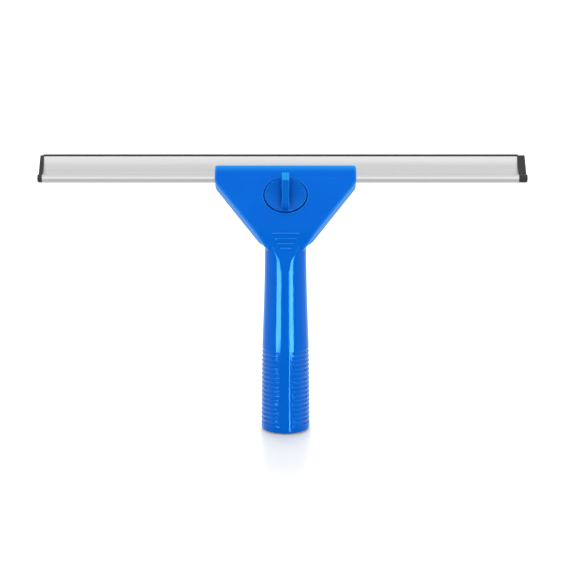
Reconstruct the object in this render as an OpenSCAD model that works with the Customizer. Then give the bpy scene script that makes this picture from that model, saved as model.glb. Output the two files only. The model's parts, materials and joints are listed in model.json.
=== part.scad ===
// Window cleaning squeegee: a moulded handle with a leaning head that clamps an
// aluminium channel and its rubber blade. A quarter-turn knob drives an eccentric,
// and the eccentric lifts a locking slide against the channel.
//
// Frame: origin at the centre of the handle's open end, +Z up the handle, +X along
// the channel, and -Y the side of the knob. Millimetres and degrees.

/* [Handle] */
// Outer radius of the handle at its open end
grip_r = 17.3; // [16.8:0.1:18]
// Outer radius of the handle's slim neck
neck_r = 14.6; // [14.2:0.1:15.2]
// Radius of the socket that a pole of 24 mm slides into
socket_r = 12.1; // [11.6:0.05:12.6]
// Number of grip grooves on each side
groove_count = 17; // [8:1:17]

/* [Head] */
// Lean of the head away from the handle's axis
head_lean = 46.4; // [44:0.2:50]
// Width of the head at the channel
head_w = 101.2; // [96:0.2:106]
// Length of the head's slanted sides, measured down the head
slant_l = 54; // [50:1:58]

/* [Channel] */
// Length of the aluminium channel
channel_l = 341.5; // [240:0.5:450]
// How far the channel's middle sits to the left of the head's middle
channel_offset = 3.6; // [0:0.1:20]
// Angle between the channel's face and the rubber blade
blade_angle = 16; // [12:1:20]
// How far the blade stands out of the channel's groove
blade_reach = 8.1; // [6:0.1:10]
// Thickness of the left end cap
cap_left_t = 2.8; // [2:0.1:6]
// Thickness of the right end cap
cap_right_t = 5.6; // [2:0.1:6]

/* [Knob] */
// Radius of the knob's disc
knob_r = 14.95; // [13:0.05:15.3]
// Offset of the eccentric from the knob's axis
eccentric_offset = 2.4; // [1.5:0.1:2.5]
// Half thickness of the knob's finger fin
fin_half = 2.6; // [2:0.1:3]

/* [Hidden] */
$fn = 64;
eps = 0.01;

blue = [0.0, 0.42, 0.86];
black = [0.13, 0.13, 0.14];

// Handle heights and the pole socket
collar_top = 8;
grip_top = 60;
neck_z = 104;
socket_depth = 90;
lead_in_r = 13.3;
lead_in_h = 1.2;
core_r = 9.5;
core_top = 128;
end_round = 1.2;

// Grip grooves: the first one, their pitch, and the smooth bands front and back
groove_z0 = 6.1;
groove_pitch = 3.25;
groove_depth = 1.1;
groove_w = 1.8;
band_half = 4.7;
grip_taper = 0.35;     // how much slimmer the grip is at its top than at its end

// The head has its own frame, leaned back by head_lean: x across, y from front to
// back through it, z up its slope. Its origin is the floor line of the channel's seat.
head_y = 34.65;
head_z = 172.4;
face_y = -6.6;         // front face
rim_y = 1.9;           // back edge of the shell's side walls
back_y = 5.8;          // back face of the rear cover
wall = 2.6;
face_top = 11.8;       // top edge of the front plate
face_round = 2.7;      // rounding of that edge
corner_r = 2.4;        // rounding of the plate's upper corners
side_end = -4.5;       // where the slanted sides begin
slant_end = side_end - slant_l;
slant_half = 14.8;     // half width at the foot of the slanted sides
face_bend_r = 38;      // radius that turns the front face into the handle
shell_foot = -56;      // where the shell's back edge ends inside the neck
neck_clip_z = 190;     // the neck is drawn up to here, then trimmed by the head's faces
x_reach = 40;          // wider than the neck, narrower than the head

// Raised bars below the knob, each shorter than the one above: height and half width
ridges_at = [[-50.5, 9.7], [-54.2, 7.7], [-57.7, 6.3], [-61.0, 4.3]];
ridge_h = 0.6;
ridge_t = 1.0;

// Straight-sided cavity behind the front plate
cavity_top = -3.4;
cavity_foot = -32.2;
cavity_side = 3.13;    // side wall, measured along x
cavity_corner = 1.2;   // drop of the cavity's upper corners below the head's own
guide_x = 15.2;        // guides beside the locking slide
guide_t = 1.6;
guide_l = 19.8;
guide_foot = -31;
guide_back = -0.8;
cover_gap = 0.15;
cover_wall = 2;
cover_back = 2.4;
cover_front = 0.1;
jaw_top = 10;          // rear jaw of the cover, behind the channel
jaw_side = 3;
jaw_chamfer = 1.5;
spindle_boss_r = 5.4;
spindle_boss_y = 0.9;

// Channel seat
seat_front = -3.6;
seat_back = 3.3;
floor_back = 3.1;      // back edge of the seat's floor
hook_z = 5.2;
hook_y = -2.2;
floor_z = -0.8;
nose_half = 18;        // half width of the locking slide's nose
nose_gap = 0.4;
nose_room_foot = -11.5;
nose_room_h = 9;

// Knob, its recess and its spindle
knob_z = -16.6;
knob_proud = 0.8;
recess_gap = 0.55;
ledge_y = -5.3;
hub_r = 8;
eccentric_r = 5;
spindle_r = 2.5;
run_gap = 0.05;
washer_t = 0.8;
washer_r = 4.8;
washer_seat_y = 4.6;
knob_screw_r = 1.25;
seal_r = 11;
seal_cord_r = 0.6;
hub_foot_y = -3.9;     // where the hub ends and the eccentric begins
eccentric_foot_y = -0.1;
dish_depth = 0.7;
dish_rim = 1.7;

// Finger fin from the side: (y, z) from the top of the disc and the knob's axis
fin_side = [[1.2, -13.7], [-3.0, -13.4], [-5.6, -11.8], [-8.0, 6.6], [-6.3, 14.6], [1.2, 14.8]];

// Locking slide: body, nose and the pad on the nose
slide_half = 13.8;
slide_foot = -27.5;
slide_top = -3.5;
slide_front = -3.7;
slide_back = -0.3;
nose_foot = -7;
nose_top = -1.3;
nose_back = 2.9;
pad_front = -3.2;
pad_back = 2.7;
pad_top = -0.1;
slot_gap = 0.12;

// Rear cover screws
screw_at = [[37, -9], [-37, -9], [24.5, -27], [-24.5, -27]];
boss_r = 3.2;
boss_top_y = 0.5;
screw_r = 1.1;
screw_head_r = 2.6;
screw_head_t = 1.5;
screw_sink = 1.5;      // depth of the recess for a screw's head
screw_tip_y = -5.0;
pilot_foot_y = -5.4;   // closed end of the screw's hole
head_gap = 0.3;        // play round screw heads and the washer

// Channel section, in the head's frame
bead_r = 2.8;
bead_y = -0.5;
heel_y = 3.0;
heel_chamfer = 1.6;
bead_top = 5.2;
plate_t = 1.8;
lip_y = -2.4;
lip_lean = 0.4;        // the face's lower edge sits this much behind the lip
channel_top = 21.5;
concave_depth = 2.4;
groove_y = 2.4;
groove_z = 16.6;
groove_r = 2.4;
groove_wall = 1.5;
groove_mouth = 5.2;    // from the groove's middle to the mouth of its lips
mouth_half = 0.95;
web_foot = 19.4;       // web from the front lip to the tube
web_top = 20.9;
rubber_bead_r = 2.3;
blade_root_half = 0.8;
blade_tip_half = 0.55;
lip_clear = 0.6;       // gap between the caps and the lip that reaches over them
lip_overhang = 2;

// Chamber through the bead, and the end cap's plug in it
chamber_front = -1.8;
chamber_back = 1.7;
chamber_foot = 1.1;
chamber_top = 4.0;
chamber_chamfer = 0.6;
plug_l = 9;
plug_gap = 0.12;
cap_dome = 0.6;        // how far the cap's foot stands out past its plate
cap_lap = 0.2;         // how far the cap laps over the channel's face
cap_top_lap = 0.8;     // how far it stands above the channel's lip
cap_chamfer = 2.1;     // at the cap's heel

x_left = -channel_offset - channel_l / 2;
x_right = -channel_offset + channel_l / 2;
face_steps = [for (i = [0:14]) bead_top + (channel_top - bead_top) * i / 14];

function arc(cx, cy, r, a0, a1, n = 12) =
    [for (i = [0:n]) let (a = a0 + (a1 - a0) * i / n) [cx + r * cos(a), cy + r * sin(a)]];

// A point (y, z) of the head's frame in the handle's frame
function from_head(y, z) =
    [head_y + z * sin(head_lean) + y * cos(head_lean), head_z + z * cos(head_lean) - y * sin(head_lean)];

// Half width of the head's outline at a height on its slope
function half_width(z) =
    z > side_end ? head_w / 2 : head_w / 2 - (side_end - z) * (head_w / 2 - slant_half) / slant_l;

module in_head() translate([0, head_y, head_z]) rotate([-head_lean, 0, 0]) children();

// Extrudes a section drawn as (y, z) along x, from x0 to x1
module along_x(x0, x1) translate([x0, 0, 0]) rotate([90, 0, 90]) linear_extrude(x1 - x0) children();

// Extrudes an outline drawn as (x, z) along y, from y0 to y1
module along_y(y0, y1) translate([0, y1, 0]) rotate([90, 0, 0]) linear_extrude(y1 - y0) children();

// A cylinder along y, from y0 to y1, centred on (x, z)
module post_y(x, z, r, y0, y1) translate([x, y1, z]) rotate([90, 0, 0]) cylinder(r = r, h = y1 - y0);

// A cylinder along x, from x0 to x1, centred on (y, z)
module rod_x(y, z, r, x0, x1) translate([x0, y, z]) rotate([0, 90, 0]) cylinder(r = r, h = x1 - x0);

// ---------- handle and head ----------

// The front face of neck and head, seen from the side: up the handle's front,
// round the bend and up the leaning face
function bend_start_z() =
    let (top = from_head(face_y, face_top))
    top[1] - (top[0] + neck_r) / tan(head_lean) - face_bend_r * tan(head_lean / 2);

function front_bend() =
    arc(-neck_r + face_bend_r, bend_start_z(), face_bend_r, 180, 180 - head_lean, 20);

// Rounded top edge of the front plate
function top_edge() = [for (p = arc(face_y + face_round, face_top - face_round, face_round, 180, 90, 6))
    from_head(p[0], p[1])];

module grip() {
    rotate_extrude() polygon(concat(
        [[0, 0]],
        arc(grip_r - end_round, end_round, end_round, -90, 0, 4),
        [[grip_r, collar_top], [grip_r - grip_taper, grip_top], [neck_r, neck_z]],
        [[neck_r, neck_clip_z], [0, neck_clip_z]]));
}

// Everything behind the front face and in front of the rear cover's back face
module neck_region() {
    along_x(-x_reach, x_reach) polygon(concat(
        [[x_reach, -x_reach], [-x_reach, -x_reach], [-x_reach, bend_start_z()]],
        front_bend(),
        [from_head(face_y, 0), from_head(rim_y, 0)]));
}

module head_outline() {
    polygon(concat(
        arc(head_w / 2 - corner_r, face_top - corner_r, corner_r, 0, 90, 6),
        arc(-head_w / 2 + corner_r, face_top - corner_r, corner_r, 90, 180, 6),
        [[-head_w / 2, side_end], [-slant_half, slant_end]],
        // The outline's tail stays inside the neck
        [[-slant_half + 4, slant_end - 20], [slant_half - 4, slant_end - 20]],
        [[slant_half, slant_end], [head_w / 2, side_end]]));
}

module head_shell() {
    intersection() {
        along_x(-head_w, head_w) polygon(concat(
            [[from_head(rim_y, shell_foot)[0], bend_start_z()]],
            front_bend(),
            top_edge(),
            [from_head(hook_y, face_top), from_head(hook_y, floor_z)],
            [from_head(floor_back, floor_z), from_head(floor_back, cavity_top)],
            [from_head(rim_y, cavity_top), from_head(rim_y, shell_foot)]));
        in_head() along_y(-x_reach, x_reach) head_outline();
    }
}

// Cavity for the knob's mechanism, open at the back
module cavity_outline(inset) {
    // An inset of 1 across a slanted wall is 1.2 along x
    side = cavity_side + inset * 1.2;
    corner_z = side_end - cavity_corner;
    for (turn = [0, 1]) mirror([turn, 0]) polygon([
        [0, cavity_top - inset], [half_width(side_end) - side, cavity_top - inset],
        [half_width(corner_z) - side, corner_z],
        [half_width(cavity_foot) - side, cavity_foot + inset], [0, cavity_foot + inset]]);
}

// Height on the head's slope at which the flat face turns into the bend
function bend_tangent_z() =
    let (y = -neck_r + face_bend_r - face_bend_r * cos(head_lean))
    let (z = bend_start_z() + face_bend_r * sin(head_lean))
    (y - head_y) * sin(head_lean) + (z - head_z) * cos(head_lean);

// y of the bend's surface at a height on the head's slope
function bend_y(z) = face_y + face_bend_r - sqrt(pow(face_bend_r, 2) - pow(bend_tangent_z() - z, 2));

module ridges() {
    for (ridge = ridges_at) in_head()
        translate([-ridge[1], bend_y(ridge[0]) - ridge_h, ridge[0] - ridge_t / 2])
            cube([2 * ridge[1], ridge_h + 2, ridge_t]);
}

module grip_grooves() {
    intersection() {
        for (i = [0:groove_count - 1]) translate([0, 0, groove_z0 + i * groove_pitch])
            rotate_extrude() polygon([
                [grip_r + 1, -groove_w], [grip_r + 1, groove_w],
                [grip_r - groove_depth, groove_w / 4], [grip_r - groove_depth, -groove_w / 4]]);
        for (side = [-1, 1]) translate([side * (band_half + x_reach), 0, 0])
            cube(2 * [x_reach, x_reach, x_reach], center = true);
    }
}

module handle_body() {
    color(blue) difference() {
        union() {
            intersection() {
                grip();
                neck_region();
            }
            head_shell();
            ridges();
        }
        // Pole socket with its lead-in, and the core above it
        translate([0, 0, -1]) cylinder(r = socket_r, h = socket_depth + 1);
        translate([0, 0, -eps]) cylinder(r1 = lead_in_r, r2 = socket_r, h = lead_in_h);
        cylinder(r = core_r, h = core_top);
        grip_grooves();
        in_head() {
            difference() {
                along_y(face_y + wall, 30) cavity_outline(0);
                // Bosses for the cover's screws and guides beside the locking slide
                for (at = screw_at) post_y(at[0], at[1], boss_r, face_y, boss_top_y);
                for (side = [-1, 1]) translate([side * guide_x - guide_t / 2, face_y + 1, guide_foot])
                    cube([guide_t, guide_back - face_y - 1, guide_l]);
            }
            for (at = screw_at) post_y(at[0], at[1], screw_r + run_gap, pilot_foot_y, boss_top_y + 1);
            // Seat of the channel, with the hook that holds its bead down
            along_x(-head_w, head_w) polygon([
                [seat_front, floor_z], [x_reach, floor_z], [x_reach, x_reach], [hook_y, x_reach],
                [hook_y, hook_z], [seat_front, hook_z]]);
            // Opening for the locking slide's nose
            translate([-nose_half - nose_gap, face_y + wall, cavity_top - 1])
                cube([2 * (nose_half + nose_gap), 12, 5]);
            // Knob recess and hub bore
            post_y(0, knob_z, knob_r + recess_gap, face_y - 5, ledge_y);
            post_y(0, knob_z, hub_r + run_gap, face_y - 5, 0);
        }
    }
}

module rear_cover() {
    jaw_half = head_w / 2 - jaw_side;
    color(blue) in_head() difference() {
        union() {
            difference() {
                along_y(cover_front, back_y) cavity_outline(cover_gap);
                along_y(-1, back_y - cover_back) cavity_outline(cover_gap + cover_wall);
            }
            for (at = screw_at) post_y(at[0], at[1], boss_r, boss_top_y, back_y - 1);
            post_y(0, knob_z, spindle_boss_r, spindle_boss_y, back_y - 1);
            // Rear jaw behind the channel
            along_y(seat_back, back_y) polygon([
                [-jaw_half, cavity_top - 1], [jaw_half, cavity_top - 1],
                [jaw_half, jaw_top - jaw_chamfer], [jaw_half - jaw_chamfer, jaw_top],
                [-jaw_half + jaw_chamfer, jaw_top], [-jaw_half, jaw_top - jaw_chamfer]]);
        }
        // Room for the locking slide's nose under the channel
        translate([-nose_half - nose_gap, -1, nose_room_foot])
            cube([2 * (nose_half + nose_gap), seat_back + 1, nose_room_h]);
        post_y(0, knob_z, spindle_r + run_gap, -5, 20);
        post_y(0, knob_z, washer_r + head_gap, washer_seat_y, 20);
        for (at = screw_at) {
            post_y(at[0], at[1], screw_r + head_gap, -5, 20);
            post_y(at[0], at[1], screw_head_r + head_gap, back_y - screw_sink, 20);
        }
    }
}

module cross_slot(r, y0, y1) {
    for (turn = [0, 90]) rotate([0, turn, 0])
        translate([-r, y0, -0.35]) cube([2 * r, y1 - y0, 0.7]);
}

module cover_screws() {
    head_under = back_y - screw_sink;
    color("silver") in_head() for (at = screw_at) difference() {
        union() {
            post_y(at[0], at[1], screw_r, screw_tip_y, head_under + 0.1);
            post_y(at[0], at[1], screw_head_r, head_under, head_under + screw_head_t);
        }
        translate([at[0], 0, at[1]]) cross_slot(1.5, head_under + 0.6, 20);
    }
}

// ---------- knob and locking slide ----------

module knob() {
    top_y = face_y - knob_proud;
    ecc = eccentric_offset * sin(45);
    color(blue) in_head() difference() {
        union() {
            post_y(0, knob_z, knob_r, top_y, ledge_y - run_gap);
            post_y(0, knob_z, hub_r, ledge_y - run_gap - eps, hub_foot_y);
            post_y(ecc, knob_z + ecc, eccentric_r, hub_foot_y - eps, eccentric_foot_y);
            post_y(0, knob_z, spindle_r, eccentric_foot_y - eps, washer_seat_y + run_gap);
            // Finger fin, in line with the handle when the channel is locked
            translate([0, top_y, knob_z]) along_x(-fin_half, fin_half) polygon(fin_side);
        }
        // Shallow finger dishes on both sides of the fin
        difference() {
            post_y(0, knob_z, knob_r - dish_rim, top_y - eps, top_y + dish_depth);
            translate([-fin_half, top_y - 1, knob_z - knob_r]) cube([2 * fin_half, 5, 2 * knob_r]);
        }
        post_y(0, knob_z, knob_screw_r + run_gap, -2.5, 10);
        // Groove for the seal in the disc's underside
        difference() {
            groove_foot_y = ledge_y - 2 * (seal_cord_r + run_gap);
            post_y(0, knob_z, seal_r + seal_cord_r + run_gap, groove_foot_y, ledge_y);
            post_y(0, knob_z, seal_r - seal_cord_r - run_gap, groove_foot_y - 1, ledge_y + 1);
        }
    }
}

// Rubber ring under the disc: it keeps water out and gives the knob its drag
module knob_seal() {
    color(black) in_head() translate([0, ledge_y - seal_cord_r - run_gap, knob_z]) rotate([90, 0, 0])
        rotate_extrude() translate([seal_r, 0]) circle(r = seal_cord_r, $fn = 32);
}

module knob_washer() {
    color("silver") in_head() difference() {
        post_y(0, knob_z, washer_r, washer_seat_y + run_gap, washer_seat_y + run_gap + washer_t);
        post_y(0, knob_z, knob_screw_r + 0.25, 0, 20);
    }
}

module knob_screw() {
    under = washer_seat_y + run_gap + washer_t;
    color("silver") in_head() difference() {
        union() {
            post_y(0, knob_z, knob_screw_r, -2, under + 0.1);
            post_y(0, knob_z, screw_head_r, under, under + screw_head_t);
        }
        translate([0, 0, knob_z]) cross_slot(1.5, under + 0.6, 20);
    }
}

module locking_slide() {
    ecc = eccentric_offset * sin(45);
    color("white") in_head() difference() {
        union() {
            translate([-slide_half, slide_front, slide_foot])
                cube([2 * slide_half, slide_back - slide_front, slide_top - slide_foot]);
            translate([-nose_half, slide_front, nose_foot])
                cube([2 * nose_half, nose_back - slide_front, nose_top - nose_foot]);
        }
        // Cross slot that the eccentric runs in
        translate([-eccentric_r + ecc - 1, slide_front - 1, knob_z + ecc - eccentric_r - slot_gap])
            cube([2 * eccentric_r + 2, 8, 2 * (eccentric_r + slot_gap)]);
    }
}

module slide_pad() {
    color(black) in_head() translate([-nose_half + 0.5, pad_front, nose_top])
        cube([2 * nose_half - 1, pad_back - pad_front, pad_top - nose_top]);
}

// ---------- channel, rubber and end caps ----------

// y of the channel's concave front face at a height on the head's slope
function channel_face(z) =
    let (mid = (bead_top + channel_top) / 2, half = (channel_top - bead_top) / 2)
    lip_y + lip_lean * (1 - (z - bead_top) / (2 * half)) + concave_depth * (1 - pow((z - mid) / half, 2));

module blade_line() translate([groove_y, groove_z]) rotate(-blade_angle) children();

module channel() {
    face_end = len(face_steps) - 1;
    color("gainsboro") in_head() difference() {
        union() {
            // Curved face plate
            along_x(x_left, x_right) polygon(concat(
                [for (z = face_steps) [channel_face(z), z]],
                [for (i = [face_end:-1:0]) [channel_face(face_steps[i]) + plate_t, face_steps[i]]]));
            // Bead with a squared heel
            rod_x(bead_y, bead_r, bead_r, x_left, x_right);
            along_x(x_left, x_right) polygon([
                [bead_y, 0], [heel_y - heel_chamfer, 0], [heel_y, heel_chamfer], [heel_y, bead_top],
                [channel_face(bead_top) + 0.2, bead_top + 0.6], [bead_y, bead_r]]);
            // Tube that holds the rubber, trimmed to the face plate in front
            along_x(x_left, x_right) intersection() {
                translate([groove_y, groove_z]) circle(r = groove_r + groove_wall);
                polygon(concat(
                    [for (z = face_steps) [channel_face(z) + plate_t / 2, z]],
                    [[x_reach, channel_top], [x_reach, bead_top]]));
            }
            // Lips of the tube's mouth
            along_x(x_left, x_right) blade_line() translate([-mouth_half - groove_wall, 0])
                square([2 * (mouth_half + groove_wall), groove_mouth]);
            // Web from the front lip to the tube
            along_x(x_left, x_right) polygon([
                [channel_face(channel_top), channel_top],
                [channel_face(web_foot) + plate_t / 2, web_foot],
                [groove_y - 1, web_foot], [groove_y, web_top]]);
        }
        rod_x(groove_y, groove_z, groove_r, x_left - 1, x_right + 1);
        along_x(x_left - 1, x_right + 1) blade_line() translate([-mouth_half, 0])
            square([2 * mouth_half, channel_top]);
        plug_hole(0, x_left - 1, x_right + 1);
    }
}

// Chamber through the bead, or the plug that fits it when inset is over 0
module plug_hole(inset, x0, x1) {
    front = chamber_front + inset;
    foot = chamber_foot + inset;
    top = chamber_top - inset;
    back = chamber_back - inset;
    along_x(x0, x1) polygon([
        [front, foot + chamber_chamfer], [front + chamber_chamfer, foot], [back, foot],
        [back, top], [front + chamber_chamfer, top], [front, top - chamber_chamfer]]);
}

module rubber_blade() {
    color(black) in_head() {
        rod_x(groove_y, groove_z, rubber_bead_r, x_left, x_right);
        along_x(x_left, x_right) blade_line() polygon([
            [-blade_root_half, 0], [blade_root_half, 0], [blade_root_half, groove_mouth + lip_clear],
            [-blade_root_half, groove_mouth + lip_clear]]);
        // The lip reaches out over the end caps
        along_x(x_left - lip_overhang, x_right + lip_overhang) blade_line() polygon([
            [-blade_root_half, groove_mouth + lip_clear], [blade_root_half, groove_mouth + lip_clear],
            [blade_root_half, groove_mouth + 2], [blade_tip_half, groove_mouth + blade_reach],
            [-blade_tip_half, groove_mouth + blade_reach], [-blade_root_half, groove_mouth + 2]]);
    }
}

// Outline of an end cap: round below, straight from the bead to the lip, then back
// over the mouth of the rubber's tube and down behind it to the heel
module cap_section() {
    tube_back = groove_y + groove_r + groove_wall;
    mouth_back = groove_y + groove_mouth * sin(blade_angle) + mouth_half + groove_wall;
    cap_heel = heel_y + 0.1;
    polygon(concat(
        arc(bead_y, bead_r, bead_r, 270, 115, 10),
        [[channel_face(bead_top) - cap_lap, bead_top + cap_lap]],
        [[lip_y - cap_lap, channel_top + cap_top_lap]],
        [[mouth_back, groove_z + groove_mouth * cos(blade_angle)]],
        [[tube_back + 0.1, groove_z + 1], [tube_back, groove_z - 1.5]],
        [[groove_y + groove_r, groove_z - 3.4], [cap_heel, bead_top + 2]],
        [[cap_heel, cap_chamfer], [cap_heel - cap_chamfer, 0]]));
}

// side is -1 for the left cap and 1 for the right one
module end_cap(side, x_face, t) {
    color(black) in_head() {
        plate_ends = [x_face, x_face + side * t];
        along_x(min(plate_ends), max(plate_ends)) cap_section();
        // The cap's foot stands a little further out than its plate
        foot_ends = [x_face, x_face + side * (t + cap_dome)];
        rod_x(bead_y, bead_r, bead_r, min(foot_ends), max(foot_ends));
        plug_ends = [x_face - side * plug_l, x_face + side];
        plug_hole(plug_gap, min(plug_ends), max(plug_ends));
    }
}

handle_body();
rear_cover();
cover_screws();
knob();
knob_seal();
knob_washer();
knob_screw();
locking_slide();
slide_pad();
channel();
rubber_blade();
end_cap(-1, x_left, cap_left_t);  // end_cap_left
end_cap(1, x_right, cap_right_t);  // end_cap_right
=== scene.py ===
"""Window cleaning squeegee: the visual model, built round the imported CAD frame.

Lengths inside the shape functions are millimetres. Moulded pieces are written as distance
fields, which are negative inside the solid, and contoured into smooth quad meshes. Extruded
pieces are sections, contoured in the same way in 2-D and swept along the channel.
"""
import json
import math

import bpy
import numpy as np
from mathutils import Matrix, Quaternion, Vector
from mathutils.geometry import tessellate_polygon


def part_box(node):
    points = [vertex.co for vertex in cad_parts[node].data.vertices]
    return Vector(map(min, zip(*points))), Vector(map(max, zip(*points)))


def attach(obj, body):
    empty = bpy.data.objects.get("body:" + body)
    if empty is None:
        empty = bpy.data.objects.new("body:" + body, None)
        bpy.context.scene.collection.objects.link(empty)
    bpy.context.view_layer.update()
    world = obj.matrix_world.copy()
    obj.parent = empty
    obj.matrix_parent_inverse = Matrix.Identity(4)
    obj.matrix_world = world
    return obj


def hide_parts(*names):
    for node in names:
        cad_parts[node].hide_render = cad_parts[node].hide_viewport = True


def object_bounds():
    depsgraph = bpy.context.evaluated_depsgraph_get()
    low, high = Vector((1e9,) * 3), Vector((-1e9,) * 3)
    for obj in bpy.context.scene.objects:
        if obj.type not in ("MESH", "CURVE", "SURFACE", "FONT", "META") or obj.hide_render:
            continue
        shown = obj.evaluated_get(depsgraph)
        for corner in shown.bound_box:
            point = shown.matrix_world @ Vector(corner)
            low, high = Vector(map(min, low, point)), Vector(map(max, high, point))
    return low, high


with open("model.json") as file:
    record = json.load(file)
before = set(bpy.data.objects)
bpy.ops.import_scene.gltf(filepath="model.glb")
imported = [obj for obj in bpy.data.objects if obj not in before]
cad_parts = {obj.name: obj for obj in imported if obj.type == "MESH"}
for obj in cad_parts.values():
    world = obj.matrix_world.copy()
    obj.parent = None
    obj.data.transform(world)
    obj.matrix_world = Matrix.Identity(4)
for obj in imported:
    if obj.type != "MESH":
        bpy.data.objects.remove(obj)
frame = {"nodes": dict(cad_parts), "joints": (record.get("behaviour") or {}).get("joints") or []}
cad_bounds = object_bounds()

MM = 0.001
JOINTS = {joint["name"]: joint for joint in frame["joints"]}

# ---------- the head's own frame ----------
# x across, y from the front of the head to its back, z up its slope, as in the CAD source.
BACK = np.array(JOINTS["knob_turn"]["axis"])
UP = np.array(JOINTS["jaw_lift"]["axis"])
BACK, UP = BACK / np.linalg.norm(BACK), UP / np.linalg.norm(UP)
FACE_Y = -6.6          # front face of the head
KNOB_Z = -16.6         # height of the knob's axis
HEAD = np.array(JOINTS["knob_turn"]["pos_m"]) / MM - FACE_Y * BACK - KNOB_Z * UP
HEAD_MATRIX = Matrix([
    (MM, 0, 0, HEAD[0] * MM),
    (0, BACK[1] * MM, UP[1] * MM, HEAD[1] * MM),
    (0, BACK[2] * MM, UP[2] * MM, HEAD[2] * MM),
    (0, 0, 0, 1)])
WORLD_MATRIX = Matrix.Scale(MM, 4)

# ---------- driving dimensions ----------
GRIP_R = 17.3
NECK_R = 14.6
SOCKET_R = 12.1
SOCKET_DEPTH = 90.0
CORE_R = 9.5
CORE_TOP = 128.0
GROOVE_COUNT = 17
GROOVE_FIRST = 6.1
GROOVE_PITCH = 3.25
GROOVE_DEPTH = 1.25
BAND_HALF = 4.7

HEAD_HALF = 50.6
FACE_TOP = 12.0
LIP_START = 4.0
LIP_R = 17.0
RIM_Y = 1.9
BACK_Y = 5.8
WALL = 2.6
SIDE_END = -4.5
SLANT_LENGTH = 54.0
SLANT_HALF = 14.8
EAR_FOOT = 132.0       # height at which the slab's sides end in the neck
BEND_R = 38.0
CAVITY_TOP = -3.4
CAVITY_FOOT = -32.2
SEAT_FRONT = -3.6
SEAT_BACK = 3.3
HOOK_Y = -2.2
HOOK_Z = 5.2
FLOOR_Z = -0.8
BARS = ((-50.5, 9.7), (-54.2, 7.7), (-57.7, 6.3), (-61.0, 4.3))

KNOB_R = 14.8
RECESS_R = 15.6
LEDGE_Y = -5.3
KNOB_TOP = FACE_Y - 0.8
HUB_R = 8.0
# The fin from the side, as (y, z) from the knob's axis
FIN_SIDE = [
    (KNOB_TOP + 1.2, -13.7),
    (KNOB_TOP - 3.0, -13.4),
    (KNOB_TOP - 5.6, -11.8),
    (KNOB_TOP - 8.0, 6.6),
    (KNOB_TOP - 6.3, 14.6),
    (KNOB_TOP + 1.2, 14.8)]
FIN_HALF = 2.75
FIN_DRAFT = 0.03
DISH_R = 53.8           # sphere that hollows the disc for the fingers
DISH_DEPTH = 1.8
HUB_BACK = -3.9
SPINDLE_R = 2.5
SPINDLE_END = 4.65

SCREWS = ((37, -9), (-37, -9), (24.5, -27), (-24.5, -27))
SCREW_HEAD_R = 2.6
SCREW_HEAD_T = 1.5
SCREW_DOME_R = 4.7
SCREW_R = 1.1
SCREW_HOLE_R = 1.4
SCREW_LENGTH = 7.0
CROSS_HALF = 1.45
KNOB_SCREW_SEAT = 5.45
BOSS_R = 3.2

# The mechanism's room inside the head and its cover
CAVITY_WALL = 3.13
COVER_WALL = 2.4
COVER_RIM = 2.0
GUIDE_X = 15.2
GUIDE_HALF = 0.8
GUIDE_Z = -21.1
GUIDE_REACH = 9.9
GUIDE_BACK = -0.8
SLOT_HALF = 18.4        # slot through which the locking slide reaches the channel
BEARING_R = 5.4
BEARING_FRONT = 0.9
WASHER_SEAT_R = 5.2
WASHER_SEAT_Y = 4.6
JAW_Z = 2.8
JAW_REACH = 7.2


# ---------- distance fields ----------

def cut(a, b, r):
    """Both a and b, with their outer edge rounded to radius r."""
    return np.minimum(np.maximum(a, b), -r) + np.hypot(np.maximum(a + r, 0), np.maximum(b + r, 0))


def join(a, b, r):
    """Either a or b, with a fillet of radius r between them."""
    return -cut(-a, -b, r)


def blend(a, b, reach):
    """Either a or b, for faces at a blunt angle, flowing into each other over reach."""
    overlap = np.maximum(reach - np.abs(a - b), 0) / reach
    return np.minimum(a, b) - overlap ** 2 * reach / 4


def all_of(*parts):
    return np.maximum.reduce(parts)


def any_of(*parts):
    return np.minimum.reduce(parts)


def smooth_step(t):
    t = np.clip(t, 0, 1)
    return t * t * (3 - 2 * t)


def polygon(u, v, points):
    """Signed distance to a closed outline."""
    nearest = np.full(np.shape(u), 1e9)
    inside = np.zeros(np.shape(u), bool)
    for (au, av), (bu, bv) in zip(points, points[1:] + points[:1]):
        du, dv = bu - au, bv - av
        wu, wv = u - au, v - av
        t = np.clip((wu * du + wv * dv) / (du * du + dv * dv), 0, 1)
        nearest = np.minimum(nearest, (wu - du * t) ** 2 + (wv - dv * t) ** 2)
        if dv != 0:
            inside ^= ((av <= v) != (bv <= v)) & (wu < du * wv / dv)
    return np.where(inside, -1, 1) * np.sqrt(nearest)


def to_head(y, z):
    """y and z of the head's frame for points of the handle's frame."""
    dy, dz = y - HEAD[1], z - HEAD[2]
    return dy * BACK[1] + dz * BACK[2], dy * UP[1] + dz * UP[2]


def from_head(y, z):
    return HEAD[1] + y * BACK[1] + z * UP[1], HEAD[2] + y * BACK[2] + z * UP[2]


# ---------- contouring ----------

def grid_line(start, stop, step, fine=(), fine_step=None):
    """Grid coordinates with a finer step inside the spans listed in fine."""
    values = [start]
    while values[-1] < stop:
        here = values[-1]
        near = any(a - step <= here <= b for a, b in fine)
        values.append(here + (fine_step if near else step))
    return np.array(values)


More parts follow.
